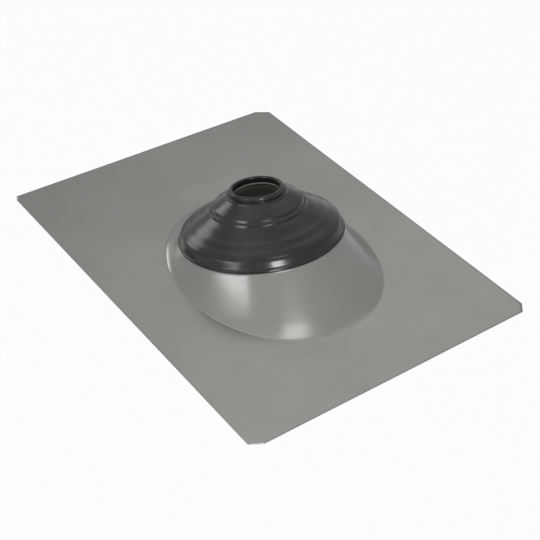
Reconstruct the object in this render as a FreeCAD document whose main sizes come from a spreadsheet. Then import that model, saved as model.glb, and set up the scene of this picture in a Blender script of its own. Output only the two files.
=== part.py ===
"""Pipe flashing boot: a pressed sheet-metal base and the moulded rubber collar that seals a pipe.

Frame: +Z up, +Y towards the ridge of the roof, +X across it, millimetres.
The origin lies in the middle of the underside of the plate.
"""
import FreeCAD, Part
import math
import os

import Sketcher
from FreeCAD import Placement, Rotation, Vector

os.makedirs("parts", exist_ok=True)

# Driving dimensions (mm and degrees), grouped as the real object is made.
DIMENSIONS = {
    # flat plate, cut from sheet
    "plate_width": 266.7,
    "plate_length": 355.6,
    "sheet": 0.6,
    "high_left_clip_across": 2.3,
    "high_left_clip_along": 4.3,
    "high_right_clip_across": 11.7,
    "high_right_clip_along": 7.1,
    "low_right_clip_across": 6.4,
    "low_right_clip_along": 7.4,
    "low_left_clip_across": 9.8,
    "low_left_clip_along": 6.1,
    # drawn dome, from an oval foot on the plate to a round rim that leans up the slope
    "dome_half_width": 82.8,
    "dome_half_length": 98.4,
    "dome_setback": 19.8,
    "fold_share": 0.15,
    "rim_radius": 67.0,
    "rim_height": 19.25,
    "rim_setback": 1.5,
    "rim_hole_radius": 61.0,
    "roof_tilt": 13.0,
    "wall_inset": 0.35,
    # moulded collar, measured outwards from and along its own axis; the foot stands on the rim
    "pipe_hole_radius": 19.05,
    "collar_height": 42.0,
    "bore_length": 6.0,
    "lip_radius": 21.9,
    "lip_depth": 2.5,
    "lip_bevel": 0.9,
    "neck_groove": 0.8,
    "groove_drop": 0.5,
    "neck_ring_radius": 23.4,
    "neck_ring_drop": 3.6,
    "step_bevel": 0.7,
    "small_cone_top_radius": 24.2,
    "small_cone_top_drop": 4.8,
    "step_radius": 36.9,
    "step_top": 29.3,
    "step_depth": 2.0,
    "step_inset": 2.7,
    "ledge": 1.4,
    "large_cone_top": 26.0,
    "skirt_radius": 66.3,
    "skirt_height": 8.3,
    "shoulder_radius": 8.4,
    "foot_radius": 68.3,
    "foot_thickness": 2.2,
    "foot_bevel": 0.8,
    "rubber": 3.6,
    "neck_clearance": 0.3,
    "lower_lip_reach": 3.3,
    "lower_lip_thickness": 2.0,
    "foot_inner_radius": 57.5,
}

doc = FreeCAD.newDocument("pipe_flashing_boot")
sheet = doc.addObject("Spreadsheet::Sheet", "Dims")
for row, (alias, number) in enumerate(DIMENSIONS.items(), start=1):
    sheet.set(f"A{row}", alias)
    sheet.set(f"B{row}", str(number))
    sheet.setAlias(f"B{row}", alias)
doc.recompute()


class Size:
    """A number worked out from sheet cells, kept with the expression that repeats it."""

    def __init__(self, number, text):
        self.number = number
        self.text = text

    def __add__(self, other):
        return Size(self.number + other.number, f"({self.text} + {other.text})")

    def __sub__(self, other):
        return Size(self.number - other.number, f"({self.text} - {other.text})")

    def __neg__(self):
        return Size(-self.number, f"(0 - {self.text})")

    def __mul__(self, other):
        return Size(self.number * other.number, f"({self.text} * {other.text})")

    def __truediv__(self, other):
        return Size(self.number / other.number, f"({self.text} / {other.text})")


def fixed(number):
    """A plain number that no cell changes, such as a share or a count."""
    return Size(float(number), str(float(number)))


def cell(alias):
    """The size held by one cell of the sheet."""
    return Size(DIMENSIONS[alias], f"Dims.{alias}")


def between(first, last, share):
    """The value this share of the way from the first to the last."""
    return first * (fixed(1) - share) + last * share


def smaller(first, last):
    """The lesser of two sizes."""
    return Size(min(first.number, last.number), f"min({first.text}; {last.text})")


def hypotenuse(first, last):
    """The long side of a right triangle."""
    return Size(math.hypot(first.number, last.number), f"hypot({first.text}; {last.text})")


ZERO = fixed(0)
TWO = fixed(2)
FOLD_STEPS = 4          # ruled strips that make the dome's fold
SHOULDER_SHARE = fixed(1.6)   # widest shoulder that fits, as a multiple of the skirt's wall
CUT_DEPTH = fixed(3)    # depth of the rim's hole cut, in thicknesses of the sheet
TILT = cell("roof_tilt")
TILT_SIN = Size(math.sin(math.radians(TILT.number)), "sin(Dims.roof_tilt * 1 deg)")
TILT_COS = Size(math.cos(math.radians(TILT.number)), "cos(Dims.roof_tilt * 1 deg)")


def origin_plane(body, role):
    """The body's own origin plane, found by its role."""
    return next(plane for plane in body.Origin.OriginFeatures if plane.Role == role)


def new_body(label):
    """An empty body whose label names its STEP file."""
    body = doc.addObject("PartDesign::Body", label)
    body.Label = label
    return body


def new_sketch(body, name, role="XY_Plane"):
    """An empty sketch on one of the body's origin planes."""
    sketch = body.newObject("Sketcher::SketchObject", name)
    sketch.AttachmentSupport = (origin_plane(body, role), [""])
    sketch.MapMode = "FlatFace"
    return sketch


def lay_sketch(sketch, along, up, lean, quarter_turn=False):
    """Lift a sketch to its height and lean it about X; the quarter turn starts circles uphill."""
    turn = Rotation(Vector(0, 0, 1), 90 if quarter_turn else 0)
    tilted = Rotation(Vector(1, 0, 0), -lean.number)
    sketch.AttachmentOffset = Placement(Vector(0, along.number, up.number), tilted * turn)
    sketch.setExpression("AttachmentOffset.Base.y", along.text)
    sketch.setExpression("AttachmentOffset.Base.z", up.text)
    turned = " * rotation(vector(0; 0; 1); 90)" if quarter_turn else ""
    sketch.setExpression(
        "AttachmentOffset.Rotation", f"rotation(vector(1; 0; 0); -({lean.text})){turned}")


def lay_on_rim(sketch, depth):
    """Put a sketch in the leaning rim plane, or this deep below it along the collar's axis."""
    along = -cell("rim_setback") - depth * TILT_SIN
    up = cell("rim_height") - depth * TILT_COS
    lay_sketch(sketch, along, up, TILT, quarter_turn=True)


def bind(sketch, kind, first, second, size, name):
    """Hold a distance between two sketch points (geometry, position) at a size from the sheet."""
    index = sketch.addConstraint(Sketcher.Constraint(kind, *first, *second, size.number))
    sketch.renameConstraint(index, name)
    sketch.setExpression(f"Constraints.{name}", size.text)


def hold_point(sketch, point, across, up, name):
    """Hold a point of the sketch at its distances from the origin."""
    bind(sketch, "DistanceX", (-1, 1), point, across, f"{name}_across")
    bind(sketch, "DistanceY", (-1, 1), point, up, f"{name}_up")


def corner_arc(before, corner, after, radius):
    """The arc that rounds a corner, its two ends on the lines before and after, and its sense."""
    back = (before - corner).normalize()
    ahead = (after - corner).normalize()
    half_angle = back.getAngle(ahead) / 2
    first = corner + back * (radius / math.tan(half_angle))
    last = corner + ahead * (radius / math.tan(half_angle))
    centre = corner + (back + ahead).normalize() * (radius / math.sin(half_angle))
    turns_left = back.cross(ahead).z < 0
    start, end = (first, last) if turns_left else (last, first)
    angles = [math.atan2(point.y - centre.y, point.x - centre.x) for point in (start, end)]
    if angles[1] < angles[0]:
        angles[1] += 2 * math.pi
    arc = Part.ArcOfCircle(Part.Circle(centre, Vector(0, 0, 1), radius), *angles)
    return arc, first, last, turns_left


def draw_outline(sketch, corners):
    """Draw a closed outline of (across, up, rounding) corners; rounding None leaves one sharp."""
    points = [Vector(across.number, up.number, 0) for across, up, rounding in corners]
    count = len(corners)
    starts, ends, arcs = list(points), list(points), {}
    for index, (across, up, rounding) in enumerate(corners):
        if rounding is not None:
            arcs[index] = corner_arc(
                points[index - 1], points[index], points[(index + 1) % count], rounding.number)
            ends[index], starts[index] = arcs[index][1], arcs[index][2]
    for index in range(count):
        sketch.addGeometry(Part.LineSegment(starts[index], ends[(index + 1) % count]), False)
    for index, (across, up, rounding) in enumerate(corners):
        line_in, line_out = (index - 1) % count, index
        if rounding is None:
            sketch.addConstraint(Sketcher.Constraint("Coincident", line_in, 2, line_out, 1))
            hold_point(sketch, (line_out, 1), across, up, f"corner_{index}")
            continue
        arc, first, last, turns_left = arcs[index]
        rounded = sketch.addGeometry(arc, False)
        virtual = sketch.addGeometry(Part.Point(points[index]), True)
        near, far = (1, 2) if turns_left else (2, 1)
        hold_point(sketch, (virtual, 1), across, up, f"corner_{index}")
        sketch.addConstraint([
            Sketcher.Constraint("PointOnObject", virtual, 1, line_in),
            Sketcher.Constraint("PointOnObject", virtual, 1, line_out),
            Sketcher.Constraint("Tangent", line_in, 2, rounded, near),
            Sketcher.Constraint("Tangent", line_out, 1, rounded, far),
        ])
        radius = sketch.addConstraint(Sketcher.Constraint("Radius", rounded, rounding.number))
        sketch.renameConstraint(radius, f"rounding_{index}")
        sketch.setExpression(f"Constraints.rounding_{index}", rounding.text)


def draw_circle(sketch, radius):
    """Draw a circle about the sketch's origin."""
    sketch.addGeometry(Part.Circle(Vector(0, 0, 0), Vector(0, 0, 1), radius.number), False)
    sketch.addConstraint(Sketcher.Constraint("Coincident", 0, 3, -1, 1))
    index = sketch.addConstraint(Sketcher.Constraint("Radius", 0, radius.number))
    sketch.renameConstraint(index, "radius")
    sketch.setExpression("Constraints.radius", radius.text)


def draw_oval(sketch, half_width, half_length):
    """Draw an ellipse about the sketch's origin, long along Y, starting on the uphill side."""
    uphill = Vector(0, half_length.number, 0)
    side = Vector(-half_width.number, 0, 0)
    sketch.addGeometry(Part.Ellipse(uphill, side, Vector(0, 0, 0)), False)
    sketch.exposeInternalGeometry(0)
    long_axis, short_axis = 1, 2
    sketch.addConstraint(Sketcher.Constraint("Coincident", 0, 3, -1, 1))
    sketch.addConstraint(Sketcher.Constraint("Vertical", long_axis))
    bind(sketch, "Distance", (long_axis, 1), (long_axis, 2), half_length * TWO, "length")
    bind(sketch, "Distance", (short_axis, 1), (short_axis, 2), half_width * TWO, "width")


def dome_stations():
    """Shares of the way from foot to rim, outwards and upwards, at the steps of the concave fold.

    In the fold, which ends at twice fold_share, the rise grows with the square of the run.
    Beyond it the wall runs straight up to the rim, in line with a foot set in by fold_share.
    """
    fold = cell("fold_share")
    stations = []
    for step in range(FOLD_STEPS + 1):
        run = fold * fixed(2 * step / FOLD_STEPS)
        stations.append((run, run * run / (fixed(4) * fold * (fixed(1) - fold))))
    return stations


def draw_dome(body, kind, name, foot_level, inset, rim_depth):
    """Loft a ruled skin from the oval foot through the stations to the rim, to add or to remove.

    Each station lies on the straight lines between matching points of foot and rim, which leaves
    it a flat oval that leans a little more than the one below it.
    """
    rim_radius = cell("rim_radius")
    rim_lean = rim_radius * TILT_SIN
    sections = []
    for index, (run, rise) in enumerate(dome_stations()):
        reach = between(cell("dome_half_length"), rim_radius * TILT_COS, run) - inset * run
        lift = rim_lean * rise
        along = -between(cell("dome_setback"), cell("rim_setback") + rim_depth * TILT_SIN, run)
        up = between(foot_level, cell("rim_height") - rim_depth * TILT_COS, rise)
        lean = Size(math.degrees(math.atan2(lift.number, reach.number)),
                    f"atan({lift.text} / {reach.text}) / 1 deg")
        oval = new_sketch(body, f"{name}Station{index}")
        lay_sketch(oval, along, up, lean)
        width = between(cell("dome_half_width"), rim_radius, run) - inset * run
        draw_oval(oval, width, hypotenuse(reach, lift))
        sections.append(oval)
    rim = new_sketch(body, f"{name}Rim")
    lay_on_rim(rim, rim_depth)
    draw_circle(rim, rim_radius - inset)
    sections.append(rim)
    feature = body.newObject(f"PartDesign::{kind}", name)
    feature.Profile = sections[0]
    feature.Sections = sections[1:]
    feature.Ruled = True
    doc.recompute()
    return feature


def make_base():
    """Plate, dome and rim, pressed from one sheet."""
    body = new_body("flashing_base")
    half_width = cell("plate_width") / TWO
    half_length = cell("plate_length") / TWO
    plate = new_sketch(body, "PlateOutline")
    draw_outline(plate, [
        (-half_width, cell("low_left_clip_along") - half_length, None),
        (cell("low_left_clip_across") - half_width, -half_length, None),
        (half_width - cell("low_right_clip_across"), -half_length, None),
        (half_width, cell("low_right_clip_along") - half_length, None),
        (half_width, half_length - cell("high_right_clip_along"), None),
        (half_width - cell("high_right_clip_across"), half_length, None),
        (cell("high_left_clip_across") - half_width, half_length, None),
        (-half_width, half_length - cell("high_left_clip_along"), None),
    ])
    pad = body.newObject("PartDesign::Pad", "Plate")
    pad.Profile = plate
    pad.Length = DIMENSIONS["sheet"]
    pad.setExpression("Length", "Dims.sheet")
    doc.recompute()
    draw_dome(body, "AdditiveLoft", "DomeOutside", cell("sheet"), ZERO, ZERO)
    dome = draw_dome(body, "SubtractiveLoft", "DomeInside", ZERO, cell("wall_inset"), cell("sheet"))

    hole = new_sketch(body, "RimHole")
    lay_on_rim(hole, ZERO)
    draw_circle(hole, cell("rim_hole_radius"))
    opening = body.newObject("PartDesign::Pocket", "RimOpening")
    opening.Profile = hole
    opening.Type = "Length"
    depth = cell("sheet") * CUT_DEPTH
    opening.Length = depth.number
    opening.setExpression("Length", depth.text)
    opening.Midplane = True
    doc.recompute()
    print("rim hole removes", round(dome.Shape.Volume - opening.Shape.Volume, 1), "mm3")
    body.Tip = opening
    return body


def collar_section():
    """Corners of the collar's half section: up the bore, down the outside, under the rim, back in."""
    top = cell("collar_height")
    bore = cell("pipe_hole_radius")
    lip = cell("lip_radius")
    lip_bottom = top - cell("lip_depth")
    small_cone_radius = cell("small_cone_top_radius")
    small_cone_height = top - cell("small_cone_top_drop")
    step = cell("step_radius")
    step_top = cell("step_top")
    step_bottom = step_top - cell("step_depth")
    ledge_radius = step + cell("ledge")
    ledge_height = cell("large_cone_top")
    skirt = cell("skirt_radius")
    skirt_bottom = cell("foot_thickness") + cell("foot_bevel")
    skirt_wall = cell("skirt_height") - skirt_bottom
    foot = cell("foot_radius")
    foot_inner = cell("foot_inner_radius")
    neck = cell("rim_hole_radius") - cell("neck_clearance")
    lower_lip = neck + cell("lower_lip_reach")
    lower_lip_top = -cell("sheet")
    lower_lip_bottom = lower_lip_top - cell("lower_lip_thickness")
    step_inner = step - cell("step_inset")
    small_slope = (small_cone_height - step_top) / (step - small_cone_radius)
    large_slope = (ledge_height - cell("skirt_height")) / (skirt - ledge_radius)

    def under_small_cone(radius):
        return small_cone_height - (radius - small_cone_radius) * small_slope - cell("rubber")

    def under_large_cone(radius):
        return ledge_height - (radius - ledge_radius) * large_slope - cell("rubber")

    return [
        (bore, top - cell("bore_length"), None),
        (bore, top, None),
        (lip - cell("lip_bevel"), top, None),
        (lip, top - cell("lip_bevel"), None),
        (lip, lip_bottom, None),
        (lip - cell("neck_groove"), lip_bottom - cell("groove_drop"), None),
        (cell("neck_ring_radius"), top - cell("neck_ring_drop"), None),
        (small_cone_radius, small_cone_height, None),
        (step - cell("step_bevel"), step_top + cell("step_bevel") * small_slope, None),
        (step, step_top - cell("step_bevel"), None),
        (step, step_bottom, None),
        (step - cell("neck_groove"), step_bottom - cell("groove_drop"), None),
        (ledge_radius, ledge_height, None),
        (skirt, cell("skirt_height"), smaller(cell("shoulder_radius"), skirt_wall * SHOULDER_SHARE)),
        (skirt, skirt_bottom, None),
        (foot, cell("foot_thickness"), None),
        (foot, ZERO, None),
        (neck, ZERO, None),
        (neck, lower_lip_top, None),
        (lower_lip, lower_lip_top, None),
        (lower_lip, lower_lip_bottom, None),
        (foot_inner, lower_lip_bottom, None),
        (foot_inner, under_large_cone(foot_inner), None),
        (step, under_large_cone(step), None),
        (step_inner, under_small_cone(step_inner), None),
        (small_cone_radius, under_small_cone(small_cone_radius), None),
    ]


def make_collar():
    """One moulding: hole lip, small cone, step, large cone, skirt and the foot that grips the rim."""
    body = new_body("rubber_collar")
    profile = new_sketch(body, "CollarSection", "XZ_Plane")
    draw_outline(profile, collar_section())
    moulding = body.newObject("PartDesign::Revolution", "Moulding")
    moulding.Profile = profile
    moulding.ReferenceAxis = (profile, ["V_Axis"])
    moulding.Angle = 360
    body.Tip = moulding
    lean = Rotation(Vector(1, 0, 0), -DIMENSIONS["roof_tilt"])
    body.Placement = Placement(Vector(0, -DIMENSIONS["rim_setback"], DIMENSIONS["rim_height"]), lean)
    body.setExpression("Placement.Base.y", "-Dims.rim_setback")
    body.setExpression("Placement.Base.z", "Dims.rim_height")
    body.setExpression("Placement.Rotation", "rotation(vector(1; 0; 0); -Dims.roof_tilt)")
    doc.recompute()
    return body


def check(bodies):
    """Stop before anything is written if a feature failed or a solid is broken."""
    for item in doc.Objects:
        if "Invalid" in item.State or "Error" in item.State:
            raise RuntimeError(f"{item.Label} did not build: {item.State}")
    for body in bodies:
        shape = body.Shape
        if shape.isNull() or not shape.isValid() or len(shape.Solids) != 1:
            raise RuntimeError(f"{body.Label} is not one valid solid")
        box = shape.BoundBox
        print(body.Label, "volume", round(shape.Volume), "z", round(box.ZMin, 2), "to", round(box.ZMax, 2))


sub_parts = [make_base(), make_collar()]
doc.recompute()
check(sub_parts)
for sub_part in sub_parts:
    sub_part.Shape.exportStep(f"parts/{sub_part.Label}.step")
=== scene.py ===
# %% [markdown]
# # Pipe flashing boot
# A flashing boot seals a vent pipe where it comes through a roof. It has two pieces: a sheet-metal base,
# pressed in one go from a flat plate, and a black rubber collar that grips the dome's rim and squeezes
# the pipe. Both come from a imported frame, which fixes where they lie. Here they get their fine shape and
# their finish. All lengths are in metres; +Z points out of the roof and +Y up its slope.

# %% Load the frame
import bpy
import numpy as np
from mathutils import Matrix, Quaternion, Vector


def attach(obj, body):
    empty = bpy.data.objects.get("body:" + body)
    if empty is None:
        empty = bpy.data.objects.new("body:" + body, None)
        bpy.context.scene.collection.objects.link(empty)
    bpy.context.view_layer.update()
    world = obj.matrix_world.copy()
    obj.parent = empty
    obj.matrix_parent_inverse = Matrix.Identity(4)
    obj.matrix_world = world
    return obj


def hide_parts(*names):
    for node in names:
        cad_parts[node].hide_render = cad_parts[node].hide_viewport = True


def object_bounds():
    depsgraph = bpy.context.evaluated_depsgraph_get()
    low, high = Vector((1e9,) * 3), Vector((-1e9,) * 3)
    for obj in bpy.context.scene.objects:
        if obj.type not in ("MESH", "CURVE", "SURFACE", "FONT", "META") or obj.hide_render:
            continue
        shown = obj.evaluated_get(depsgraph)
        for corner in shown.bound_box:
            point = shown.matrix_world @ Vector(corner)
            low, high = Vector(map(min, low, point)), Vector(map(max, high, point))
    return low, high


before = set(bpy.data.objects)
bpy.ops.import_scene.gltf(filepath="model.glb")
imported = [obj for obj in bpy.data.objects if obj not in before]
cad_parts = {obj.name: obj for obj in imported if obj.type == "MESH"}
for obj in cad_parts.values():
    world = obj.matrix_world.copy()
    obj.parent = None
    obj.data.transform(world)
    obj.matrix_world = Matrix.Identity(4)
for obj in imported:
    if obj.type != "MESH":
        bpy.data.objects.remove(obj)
solid_box = [list(corner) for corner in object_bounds()]
MM = 0.001
print("CAD box in mm:", [[round(value / MM, 2) for value in corner] for corner in solid_box])

# %% [markdown]
# ## Sizes
# The pressed base is worked out from the same few dimensions as its solid. The plate's width and length
# come from the frame; what lies between them, such as the dome's oval foot and its leaning round rim,
# is named here once.

# %% Sizes of the base
PLATE_HALF_WIDTH = (solid_box[1][0] - solid_box[0][0]) / 2
PLATE_HALF_LENGTH = (solid_box[1][1] - solid_box[0][1]) / 2
SHEET = 0.6 * MM

# each corner's clip: along the low or high edge, along the side
CLIP_HIGH_LEFT = (2.3 * MM, 4.3 * MM)
CLIP_HIGH_RIGHT = (11.7 * MM, 7.1 * MM)
CLIP_LOW_RIGHT = (6.4 * MM, 7.4 * MM)
CLIP_LOW_LEFT = (9.8 * MM, 6.1 * MM)

FOOT_HALF_WIDTH = 82.8 * MM
FOOT_HALF_LENGTH = 98.4 * MM
FOOT_SETBACK = 19.8 * MM

RIM_RADIUS = 67.0 * MM
RIM_HEIGHT = 19.25 * MM
RIM_SETBACK = 1.5 * MM
RIM_HOLE_RADIUS = 61.0 * MM
RIM_CORNER = 1.6 * MM
ROOF_TILT = np.radians(13.0)
WALL_INSET = 0.35 * MM

# %% [markdown]
# ## Helper: from a grid of points to a mesh
# Every surface below is a grid: rows run along a section, columns go round the axis. Four neighbours make
# one face, and the last column joins the first, so the skin closes on itself. Rows can close too, as on
# a ring. Building the face list as whole arrays keeps this fast and short.

# %% Grid to mesh
def grid_faces(rows, columns, rows_close):
    """Corner numbers of the faces between neighbouring rows and columns; columns always close."""
    row = np.arange(rows if rows_close else rows - 1)[:, None]
    column = np.arange(columns)[None, :]
    next_row = (row + 1) % rows
    next_column = (column + 1) % columns
    corners = [row * columns + column, row * columns + next_column,
               next_row * columns + next_column, next_row * columns + column]
    return np.stack([np.broadcast_to(corner, (len(row), columns)) for corner in corners], -1).reshape(-1, 4)


def grid_mesh(name, points, rows_close=False):
    """A smooth mesh object from points[row, column, xyz]."""
    rows, columns = points.shape[:2]
    faces = grid_faces(rows, columns, rows_close)
    mesh = bpy.data.meshes.new(name)
    mesh.from_pydata(points.reshape(-1, 3).tolist(), [], faces.tolist())
    mesh.polygons.foreach_set("use_smooth", np.ones(len(faces), dtype=bool))
    mesh.update()
    piece = bpy.data.objects.new(name, mesh)
    bpy.context.scene.collection.objects.link(piece)
    print(name, "has", len(faces), "faces")
    return piece

# %% [markdown]
# ## The pressed base
# On the real flashing the dome is drawn out of the flat sheet: at an oval crease the metal leaves the
# plate, rises to a round rim that leans 13 degrees up the slope, and turns inwards as a narrow flange for
# the collar to grip. Booleans would give hard corners and long thin faces, so the whole sheet is one polar
# grid instead: each row is a closed curve, from the flange's edge out to the plate's edge. Columns have
# to meet the ends of the four clipped corners, or the plate's outline would be cut short there.

# %% Columns that meet the plate's corners
COLUMNS = 420


def plate_corners():
    """The plate's eight corners, anticlockwise from the low left clip: each end of each clipped corner."""
    w, l = PLATE_HALF_WIDTH, PLATE_HALF_LENGTH
    return np.array([
        (-w + CLIP_LOW_LEFT[0], -l), (w - CLIP_LOW_RIGHT[0], -l),
        (w, -l + CLIP_LOW_RIGHT[1]), (w, l - CLIP_HIGH_RIGHT[1]),
        (w - CLIP_HIGH_RIGHT[0], l), (-w + CLIP_HIGH_LEFT[0], l),
        (-w, l - CLIP_HIGH_LEFT[1]), (-w, -l + CLIP_LOW_LEFT[1])])


def column_angles():
    """Even angles round the oval foot, with the nearest one moved onto each corner of the plate."""
    angles = np.linspace(0, 2 * np.pi, COLUMNS, endpoint=False)
    corners = plate_corners()
    wanted = np.arctan2((corners[:, 1] + FOOT_SETBACK) / FOOT_HALF_LENGTH, corners[:, 0] / FOOT_HALF_WIDTH)
    nearest = np.rint(wanted % (2 * np.pi) / (2 * np.pi) * COLUMNS).astype(int) % COLUMNS
    angles[nearest] = wanted % (2 * np.pi)
    return angles


ANGLES = column_angles()
print("columns:", len(ANGLES), "even step in degrees:", round(360 / COLUMNS, 3))

# %% [markdown]
# ## The dome's wall
# The wall is a formula of the angle round the dome and of the run, which is 0 at the foot and 1 at the
# rim. Seen from above each column is a straight line from oval to circle. Its height follows the run
# through the rise share, and that one function sets how crisp the crease is and how hollow the wall.

# %% The wall as a function of angle and run
FOLD_SHARE = 0.15
SIDE_CREASE = 0.88
FRONT_CREASE = 0.55
WALL_HOLLOW = 0.045


def rise_share(run):
    """How far up the wall is after this share of the way in, for every column.

    A blend of two rises, less a shallow parabola. One rise is straight from the start and makes the crease
    at the foot; the other is run squared in the fold and then straight. The crease is sharp but for the
    front, where the deep draw needs a softer fold: there its share falls by the sine to the fourth. The
    parabola leaves the wall a little hollow, as a drawn wall is where the metal thins.
    """
    front = np.maximum(-np.sin(ANGLES), 0) ** 4
    crease = SIDE_CREASE + (FRONT_CREASE - SIDE_CREASE) * front
    fold = run ** 2 / (4 * FOLD_SHARE * (1 - FOLD_SHARE))
    straight = (run - FOLD_SHARE) / (1 - FOLD_SHARE)
    soft = np.where(run < 2 * FOLD_SHARE, fold, straight)
    parabola = 4 * run * (1 - run)
    return crease * run + (1 - crease) * soft - WALL_HOLLOW * parabola


def rim_points(radius, depth):
    """A circle in the leaning rim plane, this deep below it: radius times cosine and sine of the angle."""
    across = radius * np.cos(ANGLES)
    along = radius * np.sin(ANGLES)
    y = -RIM_SETBACK + along * np.cos(ROOF_TILT) - depth * np.sin(ROOF_TILT)
    z = RIM_HEIGHT - along * np.sin(ROOF_TILT) - depth * np.cos(ROOF_TILT)
    return np.stack([across, y, z], -1)


def foot_points(level):
    """The oval where the wall meets the plate: half width and half length times cosine and sine."""
    x = FOOT_HALF_WIDTH * np.cos(ANGLES)
    y = -FOOT_SETBACK + FOOT_HALF_LENGTH * np.sin(ANGLES)
    return np.stack([x, y, np.full_like(x, level)], -1)


def wall_points(run, level, inset, depth):
    """Between foot and rim, linear in plan by run and in height by the rise share of run."""
    foot = foot_points(level)
    rim = rim_points(RIM_RADIUS - inset, depth)
    plan_share = np.full(COLUMNS, run)
    share = np.stack([plan_share, plan_share, rise_share(run)], -1)
    return foot * (1 - share) + rim * share

# %% [markdown]
# ## The plate's edge
# From the oval's centre every column runs on outwards until it meets the nearest of the plate's eight
# sides. With the sides' outward directions as one array, the way to all sides is a single product.

# %% Where each column leaves the plate
PARALLEL = 1e-9


def outline_points(level, inset):
    """The plate's edge: each column's ray from the oval's centre, cut off by the nearest of the 8 sides."""
    corners = plate_corners()
    sides = np.roll(corners, -1, axis=0) - corners
    outward = np.stack([sides[:, 1], -sides[:, 0]], -1)
    outward = outward / np.linalg.norm(outward, axis=1, keepdims=True)
    centre = np.array([0.0, -FOOT_SETBACK])
    rays = np.stack([FOOT_HALF_WIDTH * np.cos(ANGLES), FOOT_HALF_LENGTH * np.sin(ANGLES)], -1)
    reach = np.sum((corners - centre) * outward, axis=1) - inset
    speed = rays @ outward.T
    times = np.where(speed > PARALLEL, reach / np.where(speed > PARALLEL, speed, 1), np.inf)
    edge = centre + rays * times.min(axis=1)[:, None]
    return np.column_stack([edge, np.full(len(edge), level)])

# %% [markdown]
# ## One side of the sheet
# The upper and the lower side are the same formula with other values, like the two faces of a real sheet.
# The rim's corner is a small bend, drawn as a quadratic curve between flange and wall. On a flat plate
# this thin the press leaves slow waves of a few tenths of a millimetre; they lift both sides alike, fade
# out at the dome, and make the reflections swim as they do on real sheet metal.

# %% Rows of one side
FLANGE_ROWS, BEND_ROWS, WALL_ROWS, FOLD_ROWS, PLATE_ROWS = 5, 8, 22, 20, 44
PLATE_SPREAD = 1.15     # over 1, the plate's rows lie closer together near the dome
FADE_ROWS = 14
MEASURED_RUN = 0.7      # the wall is measured from here to the rim
CUT_ROUND = 0.12 * MM
WAVE_HEIGHT = 0.45 * MM
WAVE_SHARES = (1.0, 0.6, 0.35)


def sheet_waves(points):
    """Slow waves of the flat plate: three sines of different length and direction, never below zero.

    In the sines x and y are in mm, so that x / 47 makes a wave of 47 times 2 pi, which is 295 mm.
    """
    x, y = points[..., 0] / MM, points[..., 1] / MM
    broad = np.sin(x / 47 + 0.8) * np.sin(y / 61)
    slanting = np.sin(x / 29 - y / 73 + 2.0)
    narrow = np.sin(y / 24 + x / 95)
    waves = WAVE_SHARES[0] * broad + WAVE_SHARES[1] * slanting + WAVE_SHARES[2] * narrow
    highest = sum(WAVE_SHARES)
    return WAVE_HEIGHT * (waves + highest) / (2 * highest)


def side_rows(level, inset, depth):
    """Rows from the flange's inner edge, over the rim's corner, down the wall and out over the plate.

    The bend is the curve (1 - s)^2 flange + 2 s (1 - s) corner + s^2 wall, for s from 0 to 1.
    """
    flange_radii = np.linspace(RIM_HOLE_RADIUS, RIM_RADIUS - RIM_CORNER, FLANGE_ROWS)
    flange = [rim_points(radius, depth) for radius in flange_radii]

    corner = rim_points(RIM_RADIUS - inset, depth)
    measured = np.linalg.norm(corner - wall_points(MEASURED_RUN, level, inset, depth), axis=1).mean()
    wall_length = measured / (1 - MEASURED_RUN)
    bend_run = 1 - RIM_CORNER / wall_length
    below = wall_points(bend_run, level, inset, depth)
    bend = [flange[-1] * (1 - s) ** 2 + corner * 2 * s * (1 - s) + below * s ** 2
            for s in np.linspace(0, 1, BEND_ROWS)[1:-1]]

    wall_runs = np.concatenate([np.linspace(bend_run, 2 * FOLD_SHARE, WALL_ROWS),
                                np.linspace(2 * FOLD_SHARE, 0, FOLD_ROWS)[1:]])
    wall = [wall_points(run, level, inset, depth) for run in wall_runs]

    foot, edge = wall[-1], outline_points(level, CUT_ROUND)
    plate_shares = np.linspace(0, 1, PLATE_ROWS)[1:] ** PLATE_SPREAD
    plate = [foot * (1 - share) + edge * share for share in plate_shares]

    rows = np.array(flange + bend + wall + plate)
    fade = np.zeros(len(rows))
    fade[-len(plate):] = np.minimum(1, np.arange(1, len(plate) + 1) / FADE_ROWS) ** 2
    rows[..., 2] += fade[:, None] * sheet_waves(rows)
    return rows


upper = side_rows(SHEET, 0.0, 0.0)
lower = side_rows(0.0, WALL_INSET, SHEET)
print("rows on one side:", len(upper))

# %% [markdown]
# ## The closed sheet
# Two more rows make the plate's cut edge, with its corners just broken. Upper side, edge and lower side
# follow each other, and the last row joins the first at the flange's inner edge: one closed skin.

# %% Both sides and the cut edges as one closed skin
edge_lift = sheet_waves(outline_points(0.0, 0.0))[:, None] * np.array([0.0, 0.0, 1.0])
edge_rows = [outline_points(height, 0.0) + edge_lift for height in (SHEET - CUT_ROUND, CUT_ROUND)]
skin = np.concatenate([upper, np.array(edge_rows), lower[::-1]])
base = grid_mesh("pressed_base", skin, rows_close=True)
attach(base, "root")
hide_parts("flashing_base")

# %% [markdown]
# ## The rubber collar
# The collar is moulded round a core, so every section through its axis is the same: the outline is drawn
# once and turned. From the pipe hole outwards it goes over a thick round lip and a bead, down the small
# cone to a soft step, where it is cut for a wider pipe, down the large cone, round the shoulder and the
# skirt to its flared edge. Under the foot a groove holds the rim's flange, and from there the inside goes
# back up to the hole. Each corner gets its own rounding, because rubber has no sharp edges.

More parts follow.
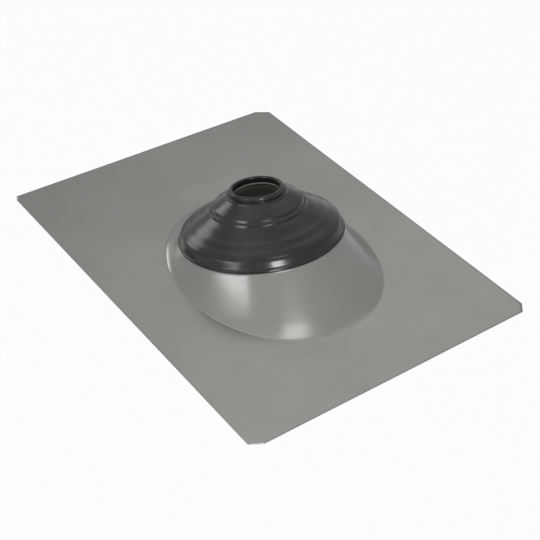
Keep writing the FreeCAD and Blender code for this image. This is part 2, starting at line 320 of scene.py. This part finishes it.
# %% The collar's outline
COLLAR_OUTLINE = [
    # (distance from the axis, height over the rim, rounding), in mm
    # lip, with the pipe hole inside it
    (19.05, 35.6, 1.0),
    (19.05, 42.0, 1.2),
    (22.3, 42.0, 1.5),
    (22.3, 38.5, 1.0),
    # bead
    (21.8, 38.1, 0.3),
    (24.4, 37.9, 1.0),
    (25.2, 36.3, 0.5),
    # foot of the small cone, and the step
    (36.4, 29.9, 1.5),
    (37.2, 27.6, 0.5),
    (39.1, 26.9, 1.1),
    (39.8, 24.8, 0.6),
    # foot of the large cone, and the flared skirt
    (65.0, 9.1, 5.0),
    (67.2, 2.4, 1.5),
    (68.3, 1.7, 0.5),
    (68.3, 0.0, 0.5),
    # groove for the rim's flange
    (60.7, 0.0, 0.1),
    (60.7, -0.6, 0.1),
    (64.0, -0.6, 0.3),
    (64.0, -2.6, 0.8),
    (57.5, -2.6, 0.8),
    # inside of the large cone and of the small one
    (57.5, 10.3, 2.0),
    (36.9, 23.3, 1.0),
    (34.2, 27.4, 1.5),
    (24.2, 33.6, 1.0),
]
ARC_STEPS = 10
LINE_SPACING = 0.8


def rounded_outline(corners, arc_steps, spacing):
    """Points along a closed outline: straight runs, and at each corner an arc that touches both sides.

    The arc starts radius / tan(half the corner's angle) before the corner. The arc's points are the
    centre plus radius times a direction that swings from one touching point to the other.
    """
    values = np.array(corners)
    points, radii = values[:, :2], values[:, 2]
    back = np.roll(points, 1, axis=0) - points
    ahead = np.roll(points, -1, axis=0) - points
    back /= np.linalg.norm(back, axis=1, keepdims=True)
    ahead /= np.linalg.norm(ahead, axis=1, keepdims=True)
    half = np.arccos(np.clip(np.sum(back * ahead, axis=1), -1, 1)) / 2
    centre = points + (back + ahead) / np.linalg.norm(back + ahead, axis=1, keepdims=True) \
        * (radii / np.sin(half))[:, None]
    first = points + back * (radii / np.tan(half))[:, None] - centre
    last = points + ahead * (radii / np.tan(half))[:, None] - centre
    swing = np.linspace(0, 1, arc_steps)[None, :, None]
    chord = first[:, None] * (1 - swing) + last[:, None] * swing
    arcs = centre[:, None] + chord / np.linalg.norm(chord, axis=2, keepdims=True) * radii[:, None, None]
    line = []
    for arc, following in zip(arcs, np.roll(arcs, -1, axis=0)):
        line.append(arc)
        gap = np.linalg.norm(following[0] - arc[-1])
        steps = int(gap / spacing)
        share = np.linspace(0, 1, steps + 2)[1:-1, None]
        line.append(arc[-1] * (1 - share) + following[0] * share)
    return np.concatenate(line)

# %% [markdown]
# ## Shallow rings
# The turned mould leaves low rings on the cones. They are only a tenth or two of a millimetre high, but
# on glossy rubber that is enough to bend the reflections into bands.

# %% Rings on the two cones
CONE_SLOPE = 0.62
RINGS_ABOVE = 48.2      # height plus slope times distance, in mm: the cones' outside has more
LOWEST_RING = 5.0       # mm over the rim
CONE_RINGS = [
    # (distance from the axis, half width, height), in mm
    (30.2, 1.5, 0.08),
    (44.0, 2.2, 0.15),
    (53.5, 2.6, 0.24),
    (60.5, 2.0, 0.14),
]


def with_rings(points):
    """Raise the cones by the sum of the rings: each is height times e to the minus (offset / width)^2.

    The small cone is so thin that its inside rises with it.
    """
    distance, height = points[:, 0], points[:, 1]
    raised = (height + CONE_SLOPE * distance > RINGS_ABOVE) & (height > LOWEST_RING)
    rise = sum(top * np.exp(-((distance - middle) / half) ** 2) for middle, half, top in CONE_RINGS)
    return points + np.where(raised, rise, 0)[:, None] * np.array([0.0, 1.0])


outline = with_rings(rounded_outline(COLLAR_OUTLINE, ARC_STEPS, LINE_SPACING)) * MM
print("points in the collar's outline:", len(outline))

# %% [markdown]
# ## The turned collar
# The axis leans with the rim and starts at the rim's centre, so heights over the rim become lengths along
# it. The outline goes round once. Its order is reversed so that the faces look outwards.

# %% Turn the outline about the leaning axis
COLLAR_COLUMNS = 300


def turned(outline, columns):
    """Each outline point (distance, height) goes round the axis, which starts at the rim's centre."""
    angle = np.linspace(0, 2 * np.pi, columns, endpoint=False)[None, :]
    across = outline[:, :1] * np.cos(angle)
    along = outline[:, :1] * np.sin(angle)
    height = np.broadcast_to(outline[:, 1:], along.shape)
    y = -RIM_SETBACK + along * np.cos(ROOF_TILT) + height * np.sin(ROOF_TILT)
    z = RIM_HEIGHT - along * np.sin(ROOF_TILT) + height * np.cos(ROOF_TILT)
    return np.stack([across, y, z], -1)


collar = grid_mesh("moulded_collar", turned(outline, COLLAR_COLUMNS)[::-1], rows_close=True)
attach(collar, "root")
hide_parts("rubber_collar")

# %% [markdown]
# ## Helpers for materials
# A material is a small graph of nodes. These helpers add a node, set its plain values and link its inputs,
# so that each finish below reads as a short recipe.

# %% Node helpers
def new_material(name):
    """An empty node material, its tree, and its Principled shader."""
    material = bpy.data.materials.new(name)
    material.use_nodes = True
    return material, material.node_tree, material.node_tree.nodes["Principled BSDF"]


def add_node(tree, kind, inputs=None, **settings):
    """A node with its settings, and with inputs by name: a socket becomes a link, anything else a value."""
    node = tree.nodes.new(kind)
    for key, value in settings.items():
        setattr(node, key, value)
    for key, value in (inputs or {}).items():
        if isinstance(value, bpy.types.NodeSocket):
            tree.links.new(value, node.inputs[key])
        else:
            node.inputs[key].default_value = value
    return node


def maths(tree, operation, *values):
    """One arithmetic step on sockets or plain numbers."""
    return add_node(tree, "ShaderNodeMath", dict(enumerate(values)), operation=operation).outputs[0]


def noise(tree, scale, detail, roughness=0.55, stretch=(1.0, 1.0, 1.0)):
    """Noise on Object coordinates, stretched along the axes by a Mapping node."""
    place = add_node(tree, "ShaderNodeTexCoord")
    mapping = add_node(tree, "ShaderNodeMapping", {"Vector": place.outputs["Object"], "Scale": stretch})
    return add_node(tree, "ShaderNodeTexNoise", {
        "Vector": mapping.outputs["Vector"], "Scale": scale, "Detail": detail,
        "Roughness": roughness}).outputs["Fac"]


def remap(tree, value, source, target):
    """Map a value from its source range to a target range, clamped."""
    return add_node(tree, "ShaderNodeMapRange", {
        "Value": value, "From Min": source[0], "From Max": source[1],
        "To Min": target[0], "To Max": target[1]}).outputs["Result"]


def mix_colours(tree, share, first, second):
    """Blend two colours by a share. The colour sockets of a Mix node are its inputs 6 and 7."""
    return add_node(tree, "ShaderNodeMix", {0: share, 6: first, 7: second}, data_type="RGBA").outputs[2]


def bump(tree, height, strength, distance, normal=None):
    """Turn a height into a tilt of the surface's normal."""
    inputs = {"Height": height, "Strength": strength, "Distance": distance}
    if normal is not None:
        inputs["Normal"] = normal
    return add_node(tree, "ShaderNodeBump", inputs).outputs["Normal"]

# %% [markdown]
# ## Mill-finish sheet metal
# Fresh sheet is neither mirror nor paint: rolling leaves fine grain along its length, handling leaves
# soft smudges, and both show mainly in the roughness. So the colour varies little, and stretched noise
# drives roughness and a faint bump.

# %% Sheet metal
SHEET_DULL = (0.340, 0.337, 0.322, 1)
SHEET_FRESH = (0.385, 0.381, 0.365, 1)
SHEET_SMUDGE = (0.320, 0.316, 0.303, 1)
SHEET_GRAIN = (0.400, 0.396, 0.380, 1)
SHEET_METALLIC = 0.65


def sheet_metal():
    """Satin metal with rolling grain along Y, slow clouds and soft smudges."""
    material, tree, shader = new_material("mill_finish_sheet")
    grain = noise(tree, scale=900.0, detail=3.0, stretch=(1.0, 0.03, 1.0))
    cloud = noise(tree, scale=9.0, detail=4.0)
    smudge = noise(tree, scale=34.0, detail=5.0, roughness=0.62, stretch=(1.0, 1.6, 1.0))
    colour = mix_colours(tree, remap(tree, cloud, (0.35, 0.65), (0.0, 1.0)), SHEET_DULL, SHEET_FRESH)
    colour = mix_colours(tree, remap(tree, smudge, (0.55, 0.80), (0.0, 0.35)), colour, SHEET_SMUDGE)
    colour = mix_colours(tree, remap(tree, grain, (0.3, 0.7), (0.0, 0.18)), colour, SHEET_GRAIN)
    tree.links.new(colour, shader.inputs["Base Color"])
    shader.inputs["Metallic"].default_value = SHEET_METALLIC
    uneven = maths(tree, "ADD", remap(tree, smudge, (0.3, 0.7), (-0.03, 0.04)),
                   remap(tree, grain, (0.3, 0.7), (0.18, 0.23)))
    tree.links.new(uneven, shader.inputs["Roughness"])
    fine = bump(tree, grain, strength=0.025, distance=0.05 * MM)
    tree.links.new(bump(tree, smudge, strength=0.06, distance=0.4 * MM, normal=fine),
                   shader.inputs["Normal"])
    return material


base.data.materials.append(sheet_metal())

# %% [markdown]
# ## Moulded rubber
# Moulded rubber is nearly black and glossy where the mould was polished. Its skin has a very fine grain,
# faint rings from the turned mould, and a pale bloom of dust in places. Under the cones a pale grey is
# painted on as painted light, so that the shaded hollow under the pipe hole is not quite black. Rings and
# this painted light need to know where they are on the leaning collar, so its own coordinates come first.

# %% Rubber
RUBBER_BLACK = (0.0158, 0.0180, 0.0135, 1)
RUBBER_BLOOM = (0.044, 0.044, 0.035, 1)
RUBBER_RING = (0.042, 0.042, 0.036, 1)
# a pale grey painted inside the cones: painted light that lifts the shade of the hollow
INSIDE_PAINTED_LIGHT = (0.46, 0.47, 0.42, 1)
INSIDE_PAINTED_LIGHT_LEVEL = (48.5 * MM, 48.9 * MM)         # height plus the cones' slope times distance
INSIDE_PAINTED_LIGHT_DISTANCE = (59.0 * MM, 60.0 * MM)      # from the axis


def collar_coordinates(tree):
    """Distance from the collar's leaning axis and height over the rim, from Object coordinates."""
    place = add_node(tree, "ShaderNodeTexCoord").outputs["Object"]
    cosine, sine = float(np.cos(ROOF_TILT)), float(np.sin(ROOF_TILT))
    shift = (0.0, RIM_SETBACK * cosine + RIM_HEIGHT * sine, RIM_SETBACK * sine - RIM_HEIGHT * cosine)
    upright = add_node(tree, "ShaderNodeMapping", {
        "Vector": place, "Location": shift, "Rotation": (float(ROOF_TILT), 0.0, 0.0)}).outputs["Vector"]
    flat = add_node(tree, "ShaderNodeVectorMath", {0: upright, 1: (1.0, 1.0, 0.0)}, operation="MULTIPLY")
    distance = add_node(tree, "ShaderNodeVectorMath", {0: flat.outputs["Vector"]}, operation="LENGTH")
    height = add_node(tree, "ShaderNodeSeparateXYZ", {"Vector": upright})
    return distance.outputs["Value"], height.outputs["Z"]


def inner_side(tree, distance, height):
    """One under the cones, where the painted light goes, and nought elsewhere: there height plus the cones'
    slope times distance is low.
    """
    level = maths(tree, "MULTIPLY_ADD", distance, CONE_SLOPE, height)
    below = remap(tree, level, INSIDE_PAINTED_LIGHT_LEVEL, (1.0, 0.0))
    within = remap(tree, distance, INSIDE_PAINTED_LIGHT_DISTANCE, (1.0, 0.0))
    return maths(tree, "MULTIPLY", below, within)


def moulded_rubber():
    """Glossy black rubber: fine grain, rings from the turned mould, faint bloom, and painted light inside.
    """
    material, tree, shader = new_material("moulded_rubber")
    grain = noise(tree, scale=1400.0, detail=3.0)
    bloom = noise(tree, scale=45.0, detail=5.0, roughness=0.6)
    distance, height = collar_coordinates(tree)
    rings = add_node(tree, "ShaderNodeTexNoise", {
        "W": distance, "Scale": 260.0, "Detail": 3.0}, noise_dimensions="1D").outputs["Fac"]
    colour = mix_colours(tree, remap(tree, bloom, (0.45, 0.8), (0.0, 0.55)), RUBBER_BLACK, RUBBER_BLOOM)
    colour = mix_colours(tree, remap(tree, rings, (0.5, 0.75), (0.0, 0.5)), colour, RUBBER_RING)
    # painted light: the shaded hollow under the cones is painted pale grey
    colour = mix_colours(tree, inner_side(tree, distance, height), colour, INSIDE_PAINTED_LIGHT)
    tree.links.new(colour, shader.inputs["Base Color"])
    tree.links.new(remap(tree, bloom, (0.3, 0.75), (0.15, 0.25)), shader.inputs["Roughness"])
    fine = bump(tree, grain, strength=0.08, distance=0.08 * MM)
    turned_marks = bump(tree, rings, strength=0.05, distance=0.6 * MM, normal=fine)
    tree.links.new(bump(tree, bloom, strength=0.05, distance=0.6 * MM, normal=turned_marks),
                   shader.inputs["Normal"])
    return material


collar.data.materials.append(moulded_rubber())

# %% [markdown]
# ## Floor
# The floor is white and matt, just under the plate, and takes a soft shadow. The camera sees it lifted
# most of the way to pure white, so that the object stands out and its shadow stays.

# %% Floor
FLOOR_SIZE = 8.0
FLOOR_DROP = 0.2 * MM
FLOOR_WHITE = (0.90, 0.90, 0.90, 1)
FLOOR_ROUGHNESS = 0.9
FLOOR_LIFT = 0.95


def floor_plane():
    """A flat square of the stage, a little below the plate."""
    half = FLOOR_SIZE / 2
    corners = [(-half, -half, 0), (half, -half, 0), (half, half, 0), (-half, half, 0)]
    mesh = bpy.data.meshes.new("floor")
    mesh.from_pydata(corners, [], [(0, 1, 2, 3)])
    plane = bpy.data.objects.new("floor", mesh)
    plane.location = (0, 0, -FLOOR_DROP)
    bpy.context.scene.collection.objects.link(plane)
    return plane


def white_floor():
    """Matt white that the camera sees lifted towards pure white, with part of its shading kept."""
    material, tree, shader = new_material("white_floor")
    shader.inputs["Base Color"].default_value = FLOOR_WHITE
    shader.inputs["Roughness"].default_value = FLOOR_ROUGHNESS
    path = add_node(tree, "ShaderNodeLightPath")
    lift = maths(tree, "MULTIPLY", path.outputs["Is Camera Ray"], FLOOR_LIFT)
    glow = add_node(tree, "ShaderNodeEmission", {"Color": (1, 1, 1, 1), "Strength": 1.0})
    mixed = add_node(tree, "ShaderNodeMixShader", {0: lift, 1: shader.outputs[0], 2: glow.outputs[0]})
    tree.links.new(mixed.outputs[0], tree.nodes["Material Output"].inputs["Surface"])
    return material


floor = floor_plane()
floor.data.materials.append(white_floor())

# %% [markdown]
# ## World
# The world is white where it is seen directly or in a reflection, and dimmer as ambient light, so that
# colours come out about as they are written.

# %% World
AMBIENT = 0.55


def studio_world():
    """White for camera, mirror and transmitted rays; a lower grey for diffuse light."""
    world = bpy.data.worlds.new("studio")
    world.use_nodes = True
    tree = world.node_tree
    path = add_node(tree, "ShaderNodeLightPath")
    seen = maths(tree, "MAXIMUM", path.outputs["Is Camera Ray"], path.outputs["Is Glossy Ray"])
    seen = maths(tree, "MAXIMUM", seen, path.outputs["Is Transmission Ray"])
    background = tree.nodes["Background"]
    background.inputs["Color"].default_value = (1, 1, 1, 1)
    tree.links.new(remap(tree, seen, (0.0, 1.0), (AMBIENT, 1.0)), background.inputs["Strength"])
    bpy.context.scene.world = world


studio_world()

# %% [markdown]
# ## What the metal sees
# Satin metal is only as good as its surroundings. A photographer hangs a light tent round it: here the
# tent is a dome that only mirror rays see. Its grey is a function of direction: a plain level all round,
# paler where soft lobes are added, each about a direction given by azimuth and elevation.

# %% Light tent
TENT_RADIUS = 3.0
TENT_ROWS, TENT_COLUMNS = 24, 64
TENT_LOWEST = -4.0      # degrees of elevation
TENT_TOP_SHARE = 1e-4   # of the radius, so that the top row is not a single point
TENT_LEVEL = 0.47
TENT_LOBES = [
    # (azimuth, elevation, inner angle, outer angle, change in level): what the lobe is for
    (235.0, 50.0, 0.0, 85.0, 0.20),     # the window side, seen by the dome's front
    (50.0, 52.0, 6.0, 28.0, 0.39),      # high behind, seen by the plate, paler towards its low end
    (345.0, 64.0, 6.0, 20.0, 0.35),     # high over the left side, a light line along the crease
    (351.0, 20.0, 4.0, 13.0, 2.20),     # low behind, a light streak down the collar's left flank
]


def direction(azimuth, elevation):
    """Unit direction from azimuth, clockwise from up the slope, and elevation over the roof, in degrees."""
    a, e = np.radians(azimuth), np.radians(elevation)
    return np.array([np.sin(a) * np.cos(e), np.cos(a) * np.cos(e), np.sin(e)])


def tent_dome():
    """A half sphere: radius times the cosine of elevation round the axis, and its sine up."""
    elevation = np.radians(np.linspace(TENT_LOWEST, 90, TENT_ROWS))[:, None]
    angle = np.linspace(0, 2 * np.pi, TENT_COLUMNS, endpoint=False)[None, :]
    flat = np.maximum(np.cos(elevation), TENT_TOP_SHARE)
    points = np.stack([flat * np.cos(angle), flat * np.sin(angle), np.sin(elevation) + 0 * angle], -1)
    dome = grid_mesh("light_tent", points * TENT_RADIUS)
    dome.visible_camera = dome.visible_diffuse = dome.visible_shadow = False
    return dome


def tent_light():
    """Glow that depends on direction: a plain level, plus each lobe by the angle from its middle."""
    material, tree, _ = new_material("light_tent")
    place = add_node(tree, "ShaderNodeTexCoord").outputs["Object"]
    towards = add_node(tree, "ShaderNodeVectorMath", {0: place}, operation="NORMALIZE").outputs["Vector"]
    level = TENT_LEVEL
    for azimuth, elevation, inner, outer, change in TENT_LOBES:
        match = add_node(tree, "ShaderNodeVectorMath", {0: towards, 1: direction(azimuth, elevation)},
                         operation="DOT_PRODUCT").outputs["Value"]
        lobe = add_node(tree, "ShaderNodeMapRange", {
            "Value": match, "From Min": np.cos(np.radians(outer)), "From Max": np.cos(np.radians(inner)),
            "To Min": 0.0, "To Max": change}, interpolation_type="SMOOTHSTEP").outputs["Result"]
        level = maths(tree, "ADD", level, lobe)
    glow = add_node(tree, "ShaderNodeEmission", {"Color": (1, 1, 1, 1), "Strength": level})
    tree.links.new(glow.outputs[0], tree.nodes["Material Output"].inputs["Surface"])
    return material


tent = tent_dome()
tent.data.materials.append(tent_light())

# %% [markdown]
# ## Strip lamps
# Long narrow lamps draw long narrow highlights, and on a curved piece the place of a highlight tells where
# its lamp must hang. So each lamp is given by the two directions that it reaches between. Two of them
# light the object; the other two are only seen in it, as a photographer's reflector cards are.

# %% Lamps
LAMP_DISTANCE = 1.5
LAMP_COLOUR = (0.96, 0.98, 1.0)
LAMP_AIM = Vector((0.0, -0.04, 0.02))


def strip_lamp(name, start, end, width, level, seen_only=False):
    """A rectangular area lamp from one direction to another, facing the object.

    Start and end are (azimuth, elevation); the width is an angle too. The power is level times pi times the
    area. A lamp that is only for reflections lights no matt surface.
    """
    first, last = direction(*start) * LAMP_DISTANCE, direction(*end) * LAMP_DISTANCE
    middle, along = (first + last) / 2, last - first
    x, z = along / np.linalg.norm(along), middle / np.linalg.norm(middle)
    light = bpy.data.lights.new(name, "AREA")
    light.shape = "RECTANGLE"
    light.size = float(np.linalg.norm(along))
    light.size_y = float(2 * LAMP_DISTANCE * np.tan(np.radians(width / 2)))
    light.energy = level * np.pi * light.size * light.size_y
    light.color = LAMP_COLOUR
    lamp = bpy.data.objects.new(name, light)
    lamp.location = LAMP_AIM + Vector(middle)
    lamp.rotation_mode = "QUATERNION"
    lamp.rotation_quaternion = Matrix(np.column_stack([x, np.cross(z, x), z]).tolist()).to_quaternion()
    lamp.visible_diffuse = not seen_only
    bpy.context.scene.collection.objects.link(lamp)


strip_lamp("window_lamp", (289.0, 12.5), (254.0, 46.5), width=6.5, level=2.2)
strip_lamp("overhead_lamp", (189.0, 66.0), (90.0, 86.0), width=15.0, level=1.5)
strip_lamp("front_lamp", (205.0, 13.0), (190.0, 13.0), width=15.0, level=34.0, seen_only=True)
strip_lamp("side_lamp", (272.0, 16.0), (250.0, 16.0), width=16.0, level=4.5, seen_only=True)

# %% [markdown]
# ## Camera
# The camera looks down over the low left corner of the plate, with a long lens so that the plate's sides
# stay nearly parallel.

# %% Camera
VIEW_AZIMUTH = 37.5
VIEW_ELEVATION = 38.86
VIEW_ROLL = 2.43
VIEW_DISTANCE = 1.0255
VIEW_TARGET = Vector((0.00142, -0.01312, -0.01191))
LENS = 82.77
SENSOR_WIDTH = 36.0
NEAREST = 0.05


def look(azimuth, elevation, roll, distance, target, lens):
    """A camera this far from its target, looking along the azimuth and down by the elevation."""
    a, e = np.radians(azimuth), np.radians(elevation)
    forward = Vector((np.sin(a) * np.cos(e), np.cos(a) * np.cos(e), -np.sin(e)))
    camera = bpy.data.objects.new("camera", bpy.data.cameras.new("camera"))
    camera.data.lens = lens
    camera.data.sensor_width = SENSOR_WIDTH
    camera.data.clip_start = NEAREST
    camera.location = target - forward * distance
    camera.rotation_mode = "QUATERNION"
    camera.rotation_quaternion = forward.to_track_quat("-Z", "Y") @ Quaternion((0, 0, 1), np.radians(roll))
    bpy.context.scene.collection.objects.link(camera)
    bpy.context.scene.camera = camera


look(VIEW_AZIMUTH, VIEW_ELEVATION, VIEW_ROLL, VIEW_DISTANCE, VIEW_TARGET, LENS)
bpy.context.scene.view_settings.view_transform = "Standard"
